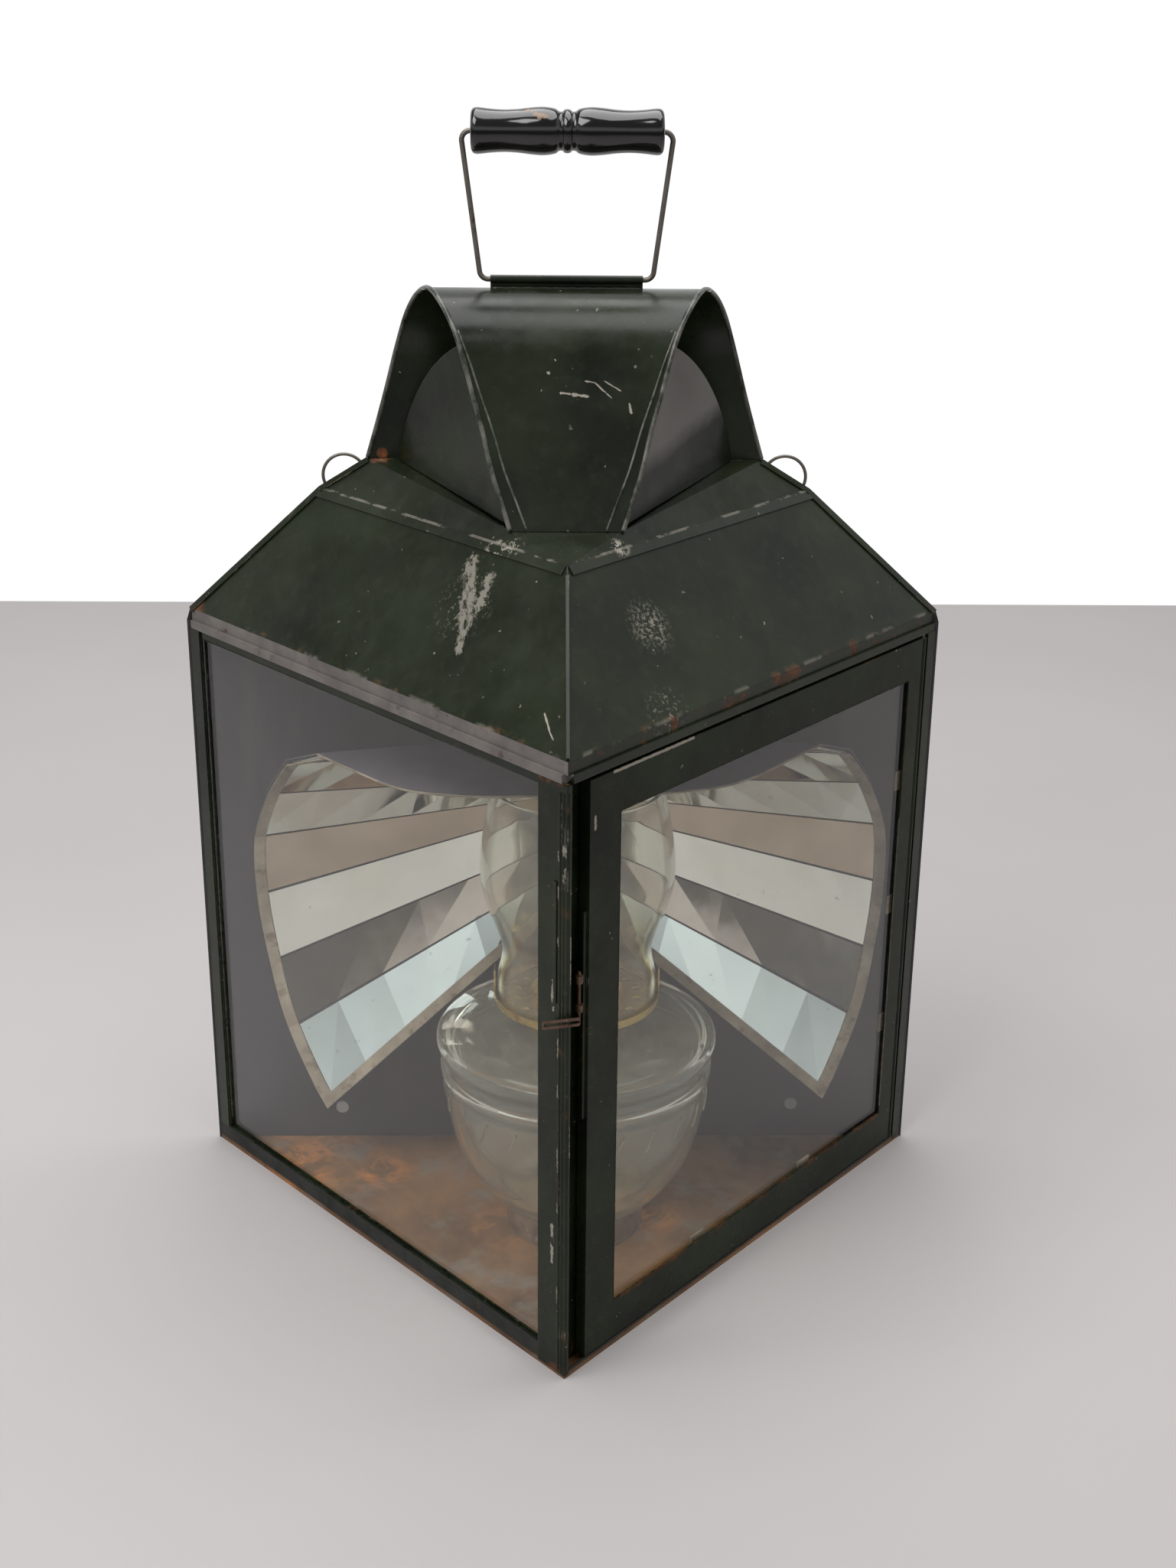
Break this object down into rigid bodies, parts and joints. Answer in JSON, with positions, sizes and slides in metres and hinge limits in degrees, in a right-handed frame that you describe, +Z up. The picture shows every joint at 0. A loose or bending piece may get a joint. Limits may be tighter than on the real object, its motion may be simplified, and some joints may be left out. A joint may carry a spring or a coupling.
{
  "type": "corner navigation lantern",
  "caption": "Triangular sheet-metal oil lantern with a flat back, glazed sides, hinged door, hooded vent, bail handle and strip-mirror reflector.",
  "frame": {"origin": "underside of the base, on the centre plane, 80 mm in front of the back wall's outer face, level with the lamp's axis from front to back", "axes": "+Z up, +Y towards the flat back, -Y towards the front corner, +X towards the hinge side of the door wall"},
  "size_m": [0.38, 0.222, 0.5518],
  "materials": {
    "green_paint": "gloss, worn to rust along the edges",
    "dark_paint": "satin, worn",
    "pan_paint": "rust spotted",
    "reflector_tin": "aged tin",
    "mirror": "silvered, aged",
    "clear_glass": "clear",
    "lamp_glass": "clear pressed glass",
    "brass": "tarnished",
    "wire": "galvanised, dull",
    "rusty_wire": "rusty",
    "grip_wood": "turned, black gloss lacquer",
    "wick_cotton": "woven cotton"
  },
  "bodies": {
    "lantern": {"base_pan": "pan_paint", "back_wall": "dark_paint", "front_post": "green_paint", "left_jamb": "green_paint", "right_jamb": "green_paint", "head_frame": "dark_paint", "left_pane_frame": "dark_paint", "left_glass": "clear_glass", "hip_seam": "green_paint", "crown_apron": "green_paint", "hood": "green_paint", "handle_tube": "green_paint", "loop_clips": "wire", "hinge_pin": "wire", "latch_keeper": "green_paint", "reflector_bracket": "reflector_tin", "wall_rivets": "wire", "lamp_seat": "pan_paint", "roof_left": "green_paint", "roof_right": "green_paint", "crown_left": "green_paint", "crown_right": "green_paint", "baffle_left": "dark_paint", "baffle_right": "dark_paint", "reflector_shell_left": "reflector_tin", "reflector_shell_right": "reflector_tin", "mirror_strips_left": "mirror", "mirror_strips_right": "mirror", "reflector_rim_left": "reflector_tin", "reflector_rim_right": "reflector_tin", "hanging_loop_left": "wire", "hanging_loop_right": "wire"},
    "door": {"door_frame": "green_paint", "door_glass": "clear_glass", "glass_tabs": "reflector_tin", "latch_eye": "rusty_wire"},
    "latch": {"latch_hook": "rusty_wire"},
    "bail": {"bail_wire": "wire"},
    "grip": {"grip": "grip_wood"},
    "lamp": {"font": "lamp_glass", "burner_collar": "brass", "burner_body": "brass", "burner_gallery": "brass", "wick_tube": "brass", "flame_spreader": "brass"},
    "chimney": {"chimney": "lamp_glass"},
    "knob": {"wick_knob": "brass"},
    "wick": {"wick": "wick_cotton"}
  },
  "joints": [
    {"name": "door_hinge", "type": "hinge", "parent": "lantern", "child": "door", "pos_m": [0.1813, 0.07257, 0.15], "axis": [0, 0, 1], "range_deg": [0, 105]},
    {"name": "latch_pivot", "type": "hinge", "parent": "door", "child": "latch", "pos_m": [0.0055, -0.12651, 0.195], "axis": [0, 0, 1], "range_deg": [0, 100]},
    {"name": "bail_swing", "type": "hinge", "parent": "lantern", "child": "bail", "pos_m": [0, 0.044, 0.476], "axis": [1, 0, 0], "range_deg": [-90, 90]},
    {"name": "grip_spin", "type": "hinge", "parent": "bail", "child": "grip", "pos_m": [0, 0.044, 0.5413], "axis": [1, 0, 0], "continuous": true},
    {"name": "lamp_lift", "type": "slide", "parent": "lantern", "child": "lamp", "axis": [0, 0, 1], "range_m": [0, 0.0025]},
    {"name": "chimney_lift", "type": "slide", "parent": "lamp", "child": "chimney", "axis": [0, 0, 1], "range_m": [0, 0.0025]},
    {"name": "wick_knob_turn", "type": "hinge", "parent": "lamp", "child": "knob", "pos_m": [0.01225, -0.03, 0.1268], "axis": [0, 1, 0], "range_deg": [-60, 60]},
    {"name": "wick_slide", "type": "slide", "parent": "lamp", "child": "wick", "axis": [0, 0, 1], "range_m": [-0.0047, 0.0047]}
  ],
  "couplings": [
    {"joint": "wick_knob_turn", "follows": "wick_slide", "rad_per_m": 222}
  ]
}
